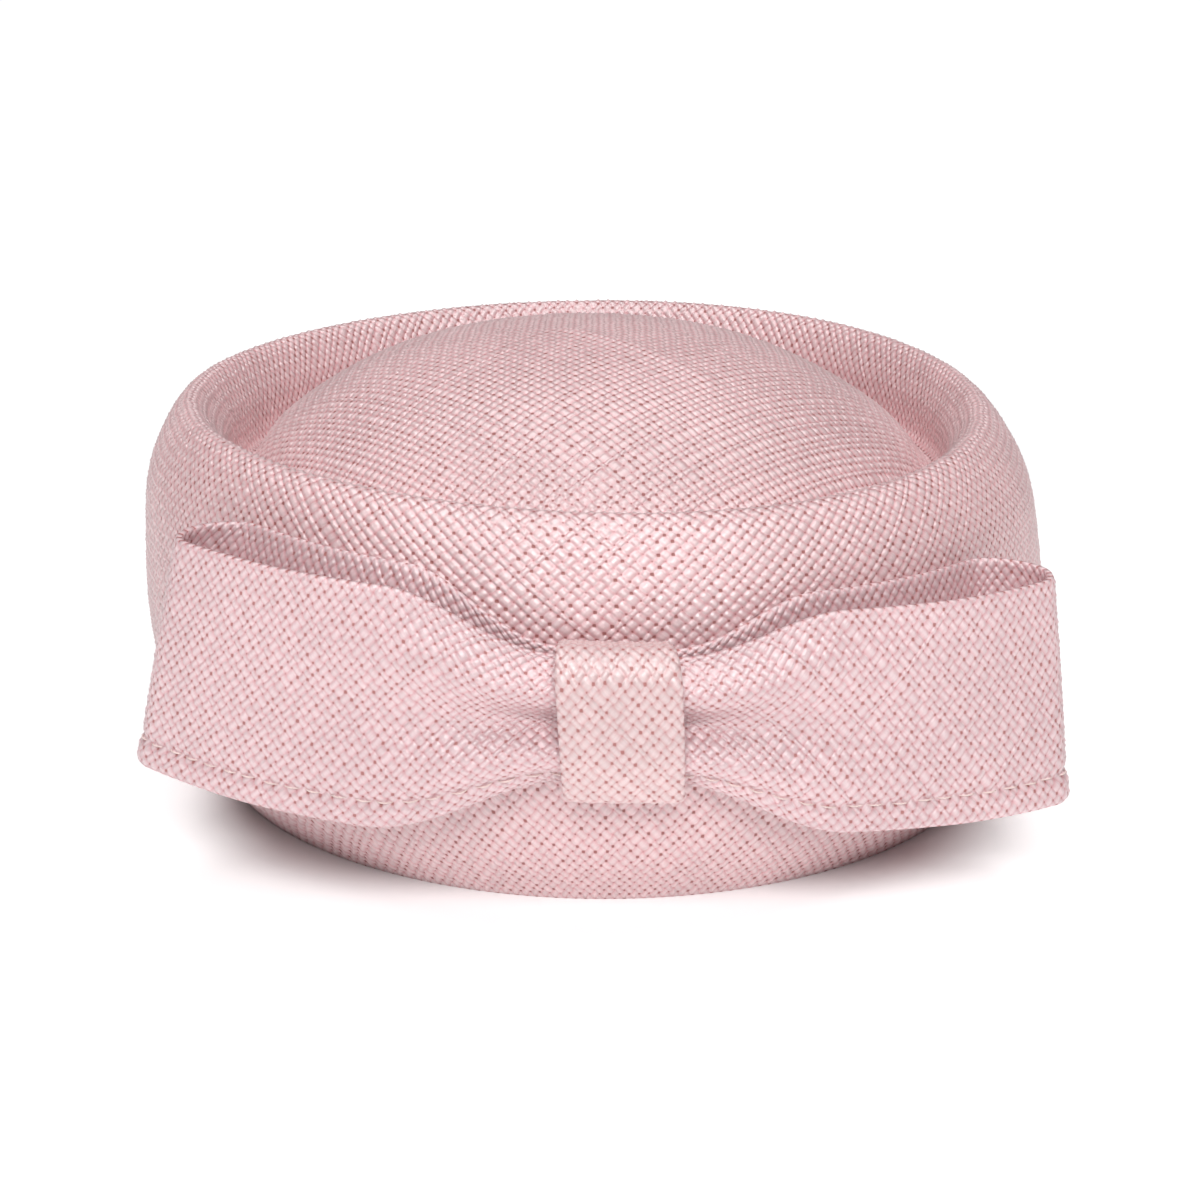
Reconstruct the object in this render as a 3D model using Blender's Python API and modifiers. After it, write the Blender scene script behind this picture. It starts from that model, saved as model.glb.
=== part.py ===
"""A pillbox hat of blocked straw with a flat bow of the same straw across its front.

Metres, +Z up. The hat rests on its lower edge at z = 0 and its bow faces -Y. The crown is turned about
an upright axis and its rim is pulled up towards the back. Then the crown and the bow are leaned together,
and the whole is centred on the origin.
"""

import math

import bpy
import numpy as np
from mathutils import Matrix, Vector

# Crown, on its outer face
BASE_RADIUS = 0.0850
BELLY_RADIUS = 0.0955
BELLY_HEIGHT = 0.0310
SHOULDER_RADIUS = 0.0908
SHOULDER_HEIGHT = 0.0670
RIM_RADIUS = 0.0818
RIM_HEIGHT = 0.0786
GROOVE_RADIUS = 0.0737
GROOVE_HEIGHT = 0.0616
TIP_HEIGHT = 0.0912
CROWN_WALL = 0.0020
CROWN_STEPS = 60
SPAN_STEPS = 3

# How much of its height the rim gains at the back and at the left, and how far it is twisted, as shares
RIM_UP_BACK = 0.040
RIM_UP_LEFT = 0.014
RIM_TWIST = 0.025

# How far the crown and its bow lean, in degrees
LEAN_LEFT = 2.8
LEAN_FORWARD = 4.0

# Bow
CLOTH = 0.0016
CLEARANCE = 0.0004
BOW_HEIGHT = 0.0430
BOW_WIDTH = 0.0425
BOW_REACH = 45.5
BOW_DEPTH = 0.0135
BOW_SLOPE = 2.2
BOW_TURN = 2.6
BOW_SPLAY = 0.0042
FOLD_NOSE = 0.0066
LOOP_ROWS = 40
LOOP_COLUMNS = 12
FOLD_SHARE = 0.16

# Knot band
KNOT_WIDTH = 0.0190
KNOT_HEIGHT = 0.0288
KNOT_UPPER_BEND = 0.0055
KNOT_LOWER_BEND = 0.0020
KNOT_COLUMNS = 6

# What each loop adds: its side, then shares of BOW_REACH, BOW_WIDTH and BOW_DEPTH at its outer end,
# how far its lower corner reaches past the upper one as a share of BOW_REACH, and how much its end
# rises as a share of BOW_WIDTH
LOOPS = (
    {"name": "bow_loop_left", "side": -1, "reach": 1.02, "width": 1.05, "depth": 0.83, "flare": 0.060, "rise": 0.03},
    {"name": "bow_loop_right", "side": 1, "reach": 0.956, "width": 0.95, "depth": 1.18, "flare": -0.034, "rise": -0.01},
)

# How a loop swells from the knot to its outer end: the place along it, the stand-off of its front
# layer as a share of BOW_DEPTH, and how deep the pinch in it is as a share of that stand-off
LOOP_SWELL = (
    {"along": 0.00, "depth": 0.36, "pinch": 0.90},
    {"along": 0.14, "depth": 0.40, "pinch": 0.90},
    {"along": 0.30, "depth": 0.50, "pinch": 0.45},
    {"along": 0.50, "depth": 0.58, "pinch": 0.12},
    {"along": 0.75, "depth": 0.78, "pinch": 0.00},
    {"along": 1.00, "depth": 1.00, "pinch": 0.00},
)

STRAW = {"name": "pink_straw", "colour": (0.76, 0.47, 0.50), "roughness": 0.38}
BOW_STRAW = {"name": "pink_bow_straw", "colour": (0.80, 0.48, 0.51), "roughness": 0.45}


def catmull_rom(points, steps):
    """A smooth line through the points, with steps pieces between each two. It ends level on the axis."""
    points = [Vector(point) for point in points]
    ends = [2 * points[0] - points[1]] + points + [Vector((-points[-2].x, points[-2].y))]
    line = []
    for before, start, end, after in zip(ends, ends[1:], ends[2:], ends[3:]):
        knots = [0.0]
        for near, far in ((before, start), (start, end), (end, after)):
            knots.append(knots[-1] + math.sqrt((far - near).length))
        for step in range(steps):
            at = knots[1] + (knots[2] - knots[1]) * step / steps
            line.append(blend_of(before, start, end, after, knots, at))
    return line + [points[-1]]


def blend_of(before, start, end, after, knots, at):
    """The point of a centripetal curve between start and end."""

    def between(low, high, first, second):
        share = (at - knots[low]) / (knots[high] - knots[low])
        return first.lerp(second, share)

    low, middle, high = between(0, 1, before, start), between(1, 2, start, end), between(2, 3, end, after)
    return between(1, 2, between(0, 2, low, middle), between(1, 3, middle, high))


def crown_outline():
    """Radius and height of the crown's outer face, from its lower edge over the rim to mid tip."""
    flare = BELLY_RADIUS - BASE_RADIUS
    taper = BELLY_RADIUS - SHOULDER_RADIUS
    climb = SHOULDER_HEIGHT - BELLY_HEIGHT
    roll = RIM_RADIUS - GROOVE_RADIUS
    drop = RIM_HEIGHT - GROOVE_HEIGHT
    rise = TIP_HEIGHT - GROOVE_HEIGHT
    return catmull_rom(
        [
            (BASE_RADIUS, 0.0),
            (BASE_RADIUS + 0.71 * flare, 0.42 * BELLY_HEIGHT),
            (BELLY_RADIUS, BELLY_HEIGHT),
            (BELLY_RADIUS - 0.25 * taper, BELLY_HEIGHT + 0.53 * climb),
            (SHOULDER_RADIUS, SHOULDER_HEIGHT),
            (RIM_RADIUS, RIM_HEIGHT),
            (GROOVE_RADIUS + 0.31 * roll, GROOVE_HEIGHT + 0.61 * drop),
            (GROOVE_RADIUS, GROOVE_HEIGHT),
            (0.88 * GROOVE_RADIUS, GROOVE_HEIGHT + 0.33 * rise),
            (0.54 * GROOVE_RADIUS, GROOVE_HEIGHT + 0.80 * rise),
            (0.0, TIP_HEIGHT),
        ],
        SPAN_STEPS,
    )


def inner_outline(outer):
    """The outer outline moved in by the wall, with its first point on the table and its last on the axis."""
    inner = []
    for index, point in enumerate(outer):
        before, after = outer[max(index - 1, 0)], outer[min(index + 1, len(outer) - 1)]
        along = (after - before).normalized()
        inner.append(point + CROWN_WALL * Vector((-along.y, along.x)))
    first, second = inner[0], inner[1]
    share = (0 - first.y) / (second.y - first.y)
    inner[0] = first.lerp(second, share)
    inner[-1] = Vector((0.0, TIP_HEIGHT - CROWN_WALL))
    return inner


def lifted(radius, azimuth, height):
    """The height that a place on the crown is pulled to, most at the rim and not at all on the axis."""
    back, right = -math.cos(azimuth), math.sin(azimuth)
    gain = RIM_UP_BACK * back - RIM_UP_LEFT * right + RIM_TWIST * back * right
    return height * (1 + gain * (radius / RIM_RADIUS) ** 2 * (height / RIM_HEIGHT) ** 2)


def wall_radius(outline, azimuth, height):
    """Radius of the crown's outer face at that height, azimuth radians round from the front."""
    wall = outline[: SPAN_STEPS * 5 + 1]
    heights = [lifted(point.x, azimuth, point.y) for point in wall]
    return float(np.interp(height, heights, [point.x for point in wall]))


def leaned(radius, azimuth, height):
    """The place at that radius and height, azimuth radians round from the front, leaned with the crown."""
    x = radius * math.sin(azimuth) - math.tan(math.radians(LEAN_LEFT)) * height
    y = -radius * math.cos(azimuth) - math.tan(math.radians(LEAN_FORWARD)) * height
    return Vector((x, y, height))


def ease(low, high, value):
    """0 up to low, 1 from high, and a smooth rise between them."""
    share = min(max((value - low) / (high - low), 0.0), 1.0)
    return share * share * (3 - 2 * share)


def front_layer():
    """Radius of the middle of a loop's front layer where it lies flat on the back layer."""
    return BELLY_RADIUS + 2 * CLEARANCE + 1.5 * CLOTH


def knot_front():
    """Radius of the middle of the knot band's front, which clears the cloth gathered under it."""
    shortest = math.radians(BOW_REACH * min(loop["reach"] - abs(loop["flare"]) for loop in LOOPS))
    gathered = max(swell_at(share * KNOT_WIDTH / 2 / BELLY_RADIUS / shortest)[0] for share in (0, 0.5, 1))
    return front_layer() + gathered * BOW_DEPTH + CLOTH + CLEARANCE


def swell_at(along):
    """Stand-off share and pinch share of a loop's front layer at that place along it."""
    places = [row["along"] for row in LOOP_SWELL]
    return [float(np.interp(along, places, [row[column] for row in LOOP_SWELL])) for column in ("depth", "pinch")]


def loop_point(outline, loop, ribbon, across):
    """A place on one loop. ribbon runs 0 to 1 from the knot, out along the crown, round the fold and
    back along the front, and across runs -1 to 1 from the lower edge to the upper one."""
    layer = (1 - FOLD_SHARE) / 2
    along = min(ribbon, 1 - ribbon) / layer
    fold = math.pi * min(max((ribbon - layer) / FOLD_SHARE, 0.0), 1.0)
    along = min(along, 1.0)
    knot_edge = (KNOT_WIDTH / 2 + CLEARANCE) / BELLY_RADIUS
    held = KNOT_HEIGHT / 2 - 1.5 * CLOTH - CLEARANCE
    reach = math.radians(BOW_REACH * (loop["reach"] - loop["flare"] * across))
    start = CLEARANCE / 2 / BELLY_RADIUS
    round_front = start + (reach - start) * along
    opened = ease(knot_edge / reach, 0.5, along)
    half = held + (BOW_WIDTH * loop["width"] / 2 - held) * opened
    azimuth = math.radians(BOW_TURN) + loop["side"] * round_front
    middle = BOW_HEIGHT + loop["rise"] * BOW_WIDTH * along
    height = middle + half * across
    height -= math.tan(math.radians(BOW_SLOPE)) * BELLY_RADIUS * math.sin(loop["side"] * round_front)
    back = wall_radius(outline, azimuth, height) + CLEARANCE + CLOTH / 2
    depth, pinch = swell_at(along)
    depth *= BOW_DEPTH * (1 + (loop["depth"] - 1) * ease(0.3, 1.0, along))
    bulges = abs(math.sin(math.pi * across)) ** 0.8
    swell = depth * ((1 - pinch) + pinch * bulges)
    front = front_layer() + swell - BOW_SPLAY * along * across
    radius = back + (front - back) * (1 - math.cos(fold)) / 2
    azimuth += loop["side"] * math.sin(fold) * FOLD_NOSE / BELLY_RADIUS
    return leaned(radius, azimuth, height)


def knot_path(outline):
    """Radius and height of the knot band's middle, over the gathered cloth from the crown to the crown."""
    front = knot_front()
    azimuth = math.radians(BOW_TURN)
    upper = BOW_HEIGHT + KNOT_HEIGHT / 2 - CLOTH / 2
    lower = BOW_HEIGHT - KNOT_HEIGHT / 2 + CLOTH / 2
    tuck = CLEARANCE + CLOTH
    path = [Vector((wall_radius(outline, azimuth, upper) + tuck, upper))]
    for bend, edge, turn in ((KNOT_UPPER_BEND, upper, 1), (KNOT_LOWER_BEND, lower, -1)):
        centre = Vector((front - bend, edge - turn * bend))
        angles = [90, 60, 30, 0] if turn > 0 else [0, -30, -60, -90]
        for angle in angles:
            path.append(centre + bend * Vector((math.cos(math.radians(angle)), math.sin(math.radians(angle)))))
    return path + [Vector((wall_radius(outline, azimuth, lower) + tuck, lower))]


def knot_point(path, row, across):
    """A place on the knot band. row counts along its path and across runs -1 to 1 over its width."""
    point = path[row]
    round_front = across * KNOT_WIDTH / 2 / BELLY_RADIUS
    slope = math.tan(math.radians(BOW_SLOPE)) * BELLY_RADIUS * math.sin(round_front)
    return leaned(point.x, math.radians(BOW_TURN) + round_front, point.y - slope)


def straw_material(look):
    """A glossy straw in one colour."""
    material = bpy.data.materials.new(look["name"])
    material.use_nodes = True
    surface = material.node_tree.nodes["Principled BSDF"]
    surface.inputs["Base Color"].default_value = (*look["colour"], 1.0)
    surface.inputs["Roughness"].default_value = look["roughness"]
    surface.inputs["Metallic"].default_value = 0.0
    material.diffuse_color = (*look["colour"], 1.0)
    return material


def add_crown(collection, outline, material):
    """The blocked shell: its closed profile turned about Z, then pulled up at the back and leaned."""
    profile = list(reversed(outline)) + inner_outline(outline)
    mesh = bpy.data.meshes.new("crown_profile")
    vertices = [(point.x, 0.0, point.y) for point in profile]
    edges = [(index, index + 1) for index in range(len(profile) - 1)]
    mesh.from_pydata(vertices, edges, [])
    turned = bpy.data.objects.new("crown_profile", mesh)
    collection.objects.link(turned)
    screw = turned.modifiers.new("turn", "SCREW")
    screw.axis = "Z"
    screw.steps = screw.render_steps = CROWN_STEPS
    screw.use_merge_vertices = True
    screw.merge_threshold = 1e-5
    screw.use_normal_calculate = True
    bpy.context.view_layer.update()
    shell = bpy.data.meshes.new_from_object(turned.evaluated_get(bpy.context.evaluated_depsgraph_get()))
    bpy.data.objects.remove(turned)
    for vertex in shell.vertices:
        radius, azimuth = math.hypot(vertex.co.x, vertex.co.y), math.atan2(vertex.co.x, -vertex.co.y)
        vertex.co = leaned(radius, azimuth, lifted(radius, azimuth, vertex.co.z))
    shell.name = "crown"
    shell.materials.append(material)
    crown = bpy.data.objects.new("crown", shell)
    collection.objects.link(crown)
    return crown


def add_sheet(collection, name, rows, columns, place, material):
    """A sheet of straw cloth: a grid whose points place(row share, column share) moves, made CLOTH thick."""
    bpy.ops.mesh.primitive_grid_add(x_subdivisions=rows, y_subdivisions=columns, size=1.0)
    sheet = bpy.context.object
    sheet.name = sheet.data.name = name
    for old in list(sheet.users_collection):
        old.objects.unlink(sheet)
    collection.objects.link(sheet)
    for vertex in sheet.data.vertices:
        vertex.co = place(vertex.co.x + 0.5, vertex.co.y + 0.5)
    thicken = sheet.modifiers.new("cloth", "SOLIDIFY")
    thicken.thickness = CLOTH
    thicken.offset = 0.0
    thicken.use_even_offset = True
    sheet.data.materials.append(material)
    return sheet


def add_loop(collection, outline, loop, material):
    """One loop of the bow, folded back on itself at its outer end."""

    def place(row, column):
        return loop_point(outline, loop, row, 2 * column - 1)

    return add_sheet(collection, loop["name"], LOOP_ROWS, LOOP_COLUMNS, place, material)


def add_knot(collection, outline, material):
    """The band over the gathered middle of the bow."""
    path = knot_path(outline)
    last = len(path) - 1

    def place(row, column):
        return knot_point(path, round(row * last), 2 * column - 1)

    return add_sheet(collection, "bow_knot", last, KNOT_COLUMNS, place, material)


def centre(pieces):
    """Moves the pieces together so that the origin is the middle of their lower side."""
    bpy.context.view_layer.update()
    graph = bpy.context.evaluated_depsgraph_get()
    corners = [piece.matrix_world @ Vector(corner) for piece in pieces for corner in piece.evaluated_get(graph).bound_box]
    low = [min(corner[axis] for corner in corners) for axis in range(3)]
    high = [max(corner[axis] for corner in corners) for axis in range(3)]
    shift = Matrix.Translation((-(low[0] + high[0]) / 2, -(low[1] + high[1]) / 2, -low[2]))
    for piece in pieces:
        piece.data.transform(shift)


def main():
    for old in list(bpy.data.objects):
        bpy.data.objects.remove(old)
    collection = bpy.data.collections.new("pillbox_hat")
    bpy.context.scene.collection.children.link(collection)
    outline = crown_outline()
    crown_straw = straw_material(STRAW)
    bow_straw = straw_material(BOW_STRAW)
    pieces = [add_crown(collection, outline, crown_straw)]
    pieces += [add_loop(collection, outline, loop, bow_straw) for loop in LOOPS]
    pieces.append(add_knot(collection, outline, bow_straw))
    centre(pieces)


main()
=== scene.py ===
"""The looks of a pink straw pillbox hat with a flat bow of the same straw across its front.

Metres, +Z up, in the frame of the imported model. The hat is woven on the bias: every surface is a
lattice of strand crossings set corner up, and each crossing is a small pillow of straw. The crown
and the bow repeat the sizes of the solids that they replace.
"""

import bpy
import numpy as np
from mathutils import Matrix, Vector


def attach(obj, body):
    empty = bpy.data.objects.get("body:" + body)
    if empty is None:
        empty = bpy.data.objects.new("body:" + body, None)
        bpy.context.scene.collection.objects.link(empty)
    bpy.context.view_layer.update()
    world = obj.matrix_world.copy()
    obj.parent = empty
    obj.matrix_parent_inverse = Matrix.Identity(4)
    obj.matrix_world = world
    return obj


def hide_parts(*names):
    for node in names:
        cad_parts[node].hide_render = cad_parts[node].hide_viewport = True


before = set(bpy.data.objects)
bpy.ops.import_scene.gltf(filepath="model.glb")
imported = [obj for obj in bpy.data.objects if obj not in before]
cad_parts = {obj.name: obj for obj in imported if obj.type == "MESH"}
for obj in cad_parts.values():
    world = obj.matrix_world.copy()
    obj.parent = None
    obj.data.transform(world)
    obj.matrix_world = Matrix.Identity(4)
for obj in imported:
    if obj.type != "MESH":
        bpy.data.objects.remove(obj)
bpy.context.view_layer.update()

# Crown, on its outer face, and how many pieces its outline has between two of its points
BASE_RADIUS = 0.0850
BELLY_RADIUS = 0.0955
BELLY_HEIGHT = 0.0310
SHOULDER_RADIUS = 0.0908
SHOULDER_HEIGHT = 0.0670
RIM_RADIUS = 0.0818
RIM_HEIGHT = 0.0786
GROOVE_RADIUS = 0.0737
GROOVE_HEIGHT = 0.0616
TIP_HEIGHT = 0.0912
CROWN_WALL = 0.0020
OUTLINE_STEPS = 40

# How much of its height the rim gains at the back and at the left, how far it is twisted, and how
# far the crown leans
RIM_UP_BACK = 0.040
RIM_UP_LEFT = 0.014
RIM_TWIST = 0.025
LEAN_LEFT = np.tan(np.radians(2.8))
LEAN_FORWARD = np.tan(np.radians(4.0))

# Bow. Its cloth is thinner than CLOTH by these shares along its edges and elsewhere
CLOTH = 0.0016
THINNED = {"edge": 0.55, "face": 0.90}
CLEARANCE = 0.0004
BOW_HEIGHT = 0.0430
BOW_WIDTH = 0.0425
BOW_REACH = 45.5
BOW_DEPTH = 0.0135
BOW_SLOPE = np.tan(np.radians(2.2))
BOW_TURN = np.radians(2.6)
BOW_SPLAY = 0.0042
FOLD_NOSE = 0.0066
FOLD_SHARE = 0.16

# Knot band
KNOT_WIDTH = 0.0190
KNOT_HEIGHT = 0.0288
KNOT_UPPER_BEND = 0.0055
KNOT_LOWER_BEND = 0.0020
# How far the band's face draws in at its lower edge, from this far below its middle down
KNOT_TUCK = 0.0020
KNOT_TUCK_FROM = 0.0020
# How far the band's upper side sinks on its way back to the crown
KNOT_SINK = 0.0011

# What each loop adds: its side, then shares of BOW_REACH, BOW_WIDTH and BOW_DEPTH at its outer end,
# how far its lower corner reaches past the upper one, and how much its end rises
LOOPS = (
    {
        "name": "bow_loop_left",
        "side": -1,
        "reach": 1.02,
        "width": 1.05,
        "depth": 0.83,
        "flare": 0.060,
        "rise": 0.03,
    },
    {
        "name": "bow_loop_right",
        "side": 1,
        "reach": 0.956,
        "width": 0.95,
        "depth": 1.18,
        "flare": -0.034,
        "rise": -0.01,
    },
)

# How a loop swells from the knot to its outer end
LOOP_SWELL = (
    {"along": 0.00, "depth": 0.36, "pinch": 0.90},
    {"along": 0.14, "depth": 0.40, "pinch": 0.90},
    {"along": 0.30, "depth": 0.50, "pinch": 0.45},
    {"along": 0.50, "depth": 0.58, "pinch": 0.12},
    {"along": 0.75, "depth": 0.78, "pinch": 0.00},
    {"along": 1.00, "depth": 1.00, "pinch": 0.00},
)

# Weave: strands a pitch apart, crossings round the crown, and how much wider than the others those at
# the front are, at the rim and at the lower edge, as shares
CROWN_PITCH = 0.00176
CROWN_CROSSINGS = 232
WIDER_FRONT = {"rim": 0.10, "edge": -0.22}
# A crossing of the bow's cloth, corner to corner along the strip and across it
LOOP_CROSSING = (0.00208, 0.00238)
KNOT_CROSSING = (0.00245, 0.00200)
# How far a crossing's corners, edge middles and middle stand off the cloth, as shares of the pitch
RELIEF = {"corner": -0.16, "edge": -0.03, "middle": 0.11}
# How unevenly it is woven: a strand's borders wander by this share of a crossing, anew every few
# crossings, and the crossings' middles rise unevenly by this share of their rise
WANDER = 0.11
WANDER_EVERY = 8
UNEVEN_RISE = 0.45

# Hem along the lower edge of the bow's cloth: its width, how much it thickens the cloth, from and to
# which shares of its width that fades, and the dent of its line of stitches
HEM_WIDTH = 0.0052
HEM_RISE = 0.00035
HEM_FADE = (0.7, 1.1)
HEM_DENT = 0.00055
HEM_DENT_WIDTH = 0.0009
# Stitches: how long and how far apart, how far from the cloth's ends they keep, how unevenly they are
# set along the hem and across it (a share of half the cloth), and how thick the thread is
STITCH = 0.0031
STITCH_EVERY = 0.0044
STITCH_FROM_END = 0.006
STITCH_UNEVEN = {"along": 0.0004, "across": 0.006}
THREAD = 0.00036

# A soft crease across the back of the tip, from and to, seen from above and measured from mid tip
CREASE = {"start": (-0.006, 0.002), "end": (0.026, -0.026), "rise": 0.0004, "width": 0.0026}


def smooth_line(points, steps):
    """A centripetal Catmull-Rom line through the points, with steps pieces between each two. It ends
    level on the axis."""
    points = np.array(points, float)
    ends = np.vstack([2 * points[0] - points[1], points, points[-2] * (-1, 1)])
    knots = np.concatenate([[0.0], np.cumsum(np.sqrt(np.linalg.norm(np.diff(ends, axis=0), axis=1)))])
    before, start, end, after = (ends[k : k + len(points) - 1, None] for k in range(4))
    times = [knots[k : k + len(points) - 1, None, None] for k in range(4)]
    at = times[1] + (times[2] - times[1]) * np.linspace(0, 1, steps, endpoint=False)[None, :, None]

    def between(low, high, first, second):
        share = (at - times[low]) / (times[high] - times[low])
        return first + (second - first) * share

    low = between(0, 1, before, start)
    middle = between(1, 2, start, end)
    high = between(2, 3, end, after)
    line = between(1, 2, between(0, 2, low, middle), between(1, 3, middle, high))
    return np.vstack([line.reshape(-1, points.shape[1]), points[-1]])


def crown_outline():
    """Radius and height of the crown's outer face, from its lower edge over the rim to mid tip, and
    the point where its groove is deepest."""
    flare = BELLY_RADIUS - BASE_RADIUS
    taper = BELLY_RADIUS - SHOULDER_RADIUS
    climb = SHOULDER_HEIGHT - BELLY_HEIGHT
    roll = RIM_RADIUS - GROOVE_RADIUS
    drop = RIM_HEIGHT - GROOVE_HEIGHT
    rise = TIP_HEIGHT - GROOVE_HEIGHT
    line = smooth_line(
        [
            (BASE_RADIUS, 0.0),
            (BASE_RADIUS + 0.71 * flare, 0.42 * BELLY_HEIGHT),
            (BELLY_RADIUS, BELLY_HEIGHT),
            (BELLY_RADIUS - 0.25 * taper, BELLY_HEIGHT + 0.53 * climb),
            (SHOULDER_RADIUS, SHOULDER_HEIGHT),
            (RIM_RADIUS, RIM_HEIGHT),
            (GROOVE_RADIUS + 0.31 * roll, GROOVE_HEIGHT + 0.61 * drop),
            (GROOVE_RADIUS, GROOVE_HEIGHT),
            (0.88 * GROOVE_RADIUS, GROOVE_HEIGHT + 0.33 * rise),
            (0.54 * GROOVE_RADIUS, GROOVE_HEIGHT + 0.80 * rise),
            (0.0, TIP_HEIGHT),
        ],
        OUTLINE_STEPS,
    )
    return line, 7 * OUTLINE_STEPS


def lengths_along(line):
    """Distance along a line to each of its points."""
    return np.concatenate([[0.0], np.cumsum(np.linalg.norm(np.diff(line, axis=0), axis=1))])


OUTLINE, GROOVE_INDEX = crown_outline()
OUTLINE_LENGTHS = lengths_along(OUTLINE)
WALL = OUTLINE[: 5 * OUTLINE_STEPS]


def outline_at(distance, out=0.0):
    """Radius and height at that distance along the crown's outline, moved out from its face by out."""
    radius = np.interp(distance, OUTLINE_LENGTHS, OUTLINE[:, 0])
    height = np.interp(distance, OUTLINE_LENGTHS, OUTLINE[:, 1])
    tangent = np.gradient(OUTLINE, OUTLINE_LENGTHS, axis=0)
    tangent /= np.linalg.norm(tangent, axis=1, keepdims=True)
    along_radius = np.interp(distance, OUTLINE_LENGTHS, tangent[:, 0])
    along_height = np.interp(distance, OUTLINE_LENGTHS, tangent[:, 1])
    return radius + out * along_height, height - out * along_radius


def lifted(radius, azimuth, height):
    """The height that a place on the crown is pulled to, most at the rim and not at all on the axis."""
    back, right = -np.cos(azimuth), np.sin(azimuth)
    gain = RIM_UP_BACK * back - RIM_UP_LEFT * right + RIM_TWIST * back * right
    return height * (1 + gain * (radius / RIM_RADIUS) ** 2 * (height / RIM_HEIGHT) ** 2)


def wall_radius(azimuth, height):
    """Radius of the crown's outer face at that height, azimuth radians round from the front. The height
    before the rim is pulled up is the one that the pull brings there, which four rounds settle."""
    level = height
    for _ in range(4):
        radius = np.interp(level, WALL[:, 1], WALL[:, 0])
        level = height * level / lifted(radius, azimuth, level)
    return np.interp(level, WALL[:, 1], WALL[:, 0])


def crown_centre():
    """Where the crown's upright axis meets the table: the middle of the lower edge of its solid."""
    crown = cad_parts["crown"].data
    points = np.empty(len(crown.vertices) * 3)
    crown.vertices.foreach_get("co", points)
    points = points.reshape(-1, 3)
    ring = points[points[:, 2] < 1e-5]
    return (ring.min(0) + ring.max(0)) / 2


CENTRE = crown_centre()


def leaned(radius, azimuth, height):
    """Points at that radius and height, azimuth radians round from the front, leaned with the crown."""
    x = CENTRE[0] + radius * np.sin(azimuth) - LEAN_LEFT * height
    y = CENTRE[1] - radius * np.cos(azimuth) - LEAN_FORWARD * height
    return np.stack([x, y, height + 0 * x], axis=-1)


def on_crown(distance, azimuth, out):
    """Points at that distance along the crown's outline and azimuth round it, out from its face."""
    radius, height = outline_at(distance, out)
    return leaned(radius, azimuth, lifted(radius, azimuth, height))


def ease(low, high, value):
    """0 up to low, 1 from high, and a smooth rise between them."""
    share = np.clip((value - low) / (high - low), 0.0, 1.0)
    return share * share * (3 - 2 * share)


# The lattice of a cloth on its bias. A place in it is two whole numbers, right and up, in quarters of
# a crossing's diagonal, whose sum is even: crossings' corners, edge middles and middles. The strip of
# faces round a sheet's edge is EDGE_STRIP places wide on the picture that the finish is baked to.
EDGE_STRIP = 1.5


def lattice_faces(rights, ups, closed):
    """Corners of every small face as (right, up): squares set corner up, and triangles at the edges."""
    columns = np.arange(rights if closed else rights + 1)
    right, up = np.meshgrid(columns, np.arange(ups + 1), indexing="ij")
    low = ((right + up) % 2 == 0) & (up <= ups - 2)
    if not closed:
        low &= (right > 0) & (right < rights)
    right, up = right[low], up[low]
    corners = [(right, up), (right + 1, up + 1), (right, up + 2), (right - 1, up + 1)]
    squares = np.stack(corners, axis=1).T
    even = np.arange(0, rights, 2)
    side = np.arange(0, ups, 2)
    low, high = 0 * even, 0 * even + ups
    bottom = np.stack([(even, low), (even + 2, low), (even + 1, low + 1)], axis=1).T
    top = np.stack([(even + 2, high), (even, high), (even + 1, high - 1)], axis=1).T
    triangles = [bottom, top]
    if not closed:
        near, far = 0 * side, 0 * side + rights
        triangles.append(np.stack([(near, side + 2), (near, side), (near + 1, side + 1)], axis=1).T)
        triangles.append(np.stack([(far, side), (far, side + 2), (far - 1, side + 1)], axis=1).T)
    return [squares, np.vstack(triangles)]


def repeating(table, first, second):
    """Values of a table that repeats both ways, read smoothly between its places."""
    low_first, low_second = np.floor(first).astype(int), np.floor(second).astype(int)
    share_first, share_second = first - low_first, ease(0.0, 1.0, second - low_second)
    rows, columns = table.shape
    here, ahead = low_first % rows, (low_first + 1) % rows
    start, end = low_second % columns, (low_second + 1) % columns
    near = table[here, start] * (1 - share_second) + table[here, end] * share_second
    far = table[ahead, start] * (1 - share_second) + table[ahead, end] * share_second
    return near * (1 - share_first) + far * share_first


def wandered(places, rights, ups):
    """Lattice places moved within the cloth: each strand's borders keep a width of their own and
    wander along it. The places along the cloth's edges stay."""
    chance = np.random.default_rng(11)
    lines = rights // 4
    right, up = places[:, 0].astype(float), places[:, 1].astype(float)
    first, second = (right + up) / 4, (right - up) / 4
    inside = np.clip(np.minimum(up, ups - up) / 4, 0, 1)
    moved = []
    for line, along in ((first, second), (second, first)):
        own = chance.normal(0.0, 0.7, (lines, 1))
        table = WANDER * (own + chance.normal(0.0, 0.7, (lines, max(lines // WANDER_EVERY, 1))))
        moved.append(line + inside * repeating(table, line, along / WANDER_EVERY))
    return 2 * (moved[0] + moved[1]), 2 * (moved[0] - moved[1])


def relief_of(right, up):
    """Stand-off of a lattice place as a share of the pitch, by what it is in its crossing. Crossings'
    middles rise unevenly, each by a number of its own."""
    first, second = (right + up) // 2, (right - up) // 2
    middle, corner = (first % 2 == 1) & (second % 2 == 1), (first % 2 == 0) & (second % 2 == 0)
    size = 97
    own = np.random.default_rng(5).uniform(-1, 1, (size, size))[first % size, second % size]
    rise = RELIEF["middle"] * (1 + UNEVEN_RISE * own)
    return np.where(middle, rise, np.where(corner, RELIEF["corner"], RELIEF["edge"]))


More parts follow.
